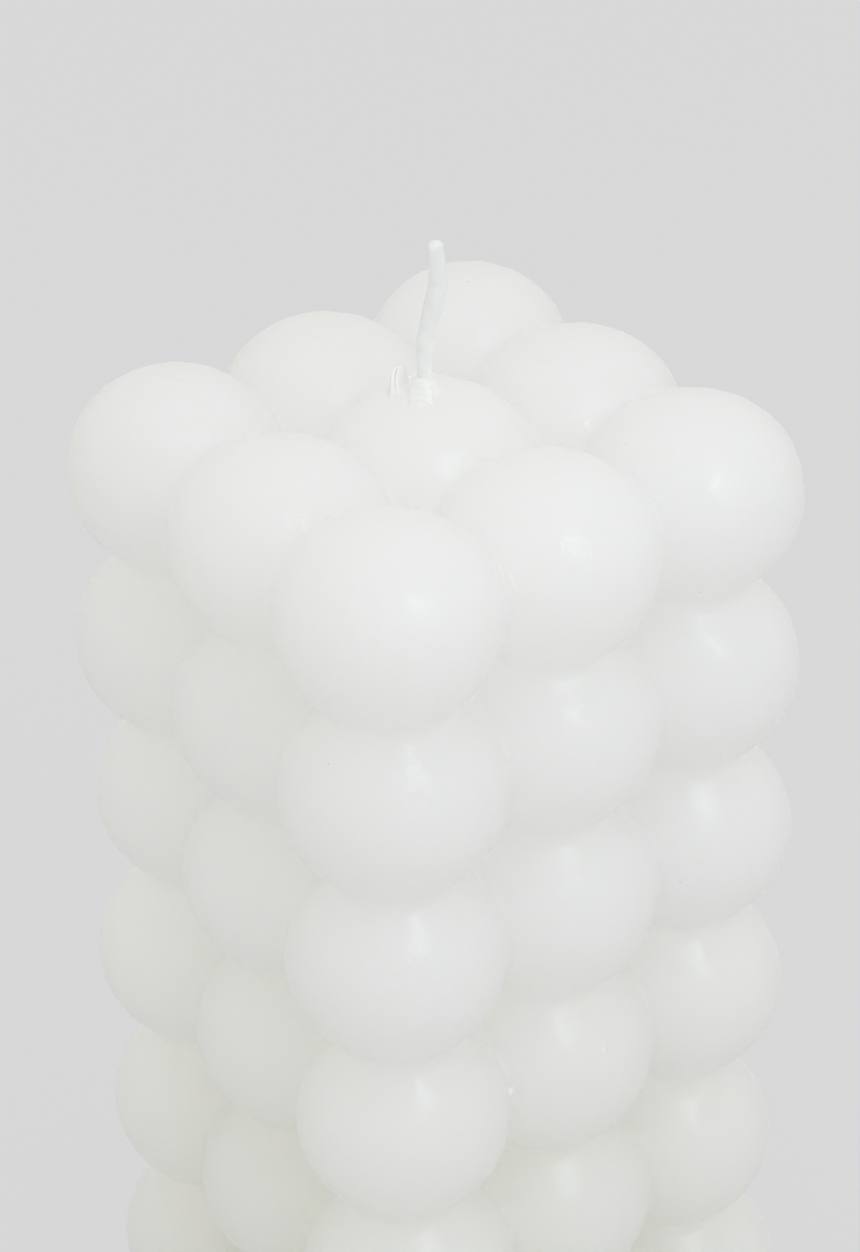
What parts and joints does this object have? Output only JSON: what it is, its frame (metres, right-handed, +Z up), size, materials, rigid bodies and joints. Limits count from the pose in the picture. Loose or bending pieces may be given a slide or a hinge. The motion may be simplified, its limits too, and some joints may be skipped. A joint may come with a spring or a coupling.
{
  "type": "square bubble pillar candle",
  "caption": "Square pillar candle cast as a lattice of rounded wax bubbles, with a flat base and a bent, waxed wick standing out of the middle of its top.",
  "frame": {"origin": "middle of the flat base, on the surface that the candle stands on", "axes": "+Z up along the wick, X and Y along the sides of the square"},
  "size_m": [0.064, 0.064, 0.1661],
  "materials": {
    "wax": "white, slightly translucent candle wax with a satin skin",
    "waxed_wick": "white cotton braid soaked in wax"
  },
  "bodies": {
    "root": {"wax_body": "wax", "wick": "waxed_wick"}
  },
  "joints": []
}
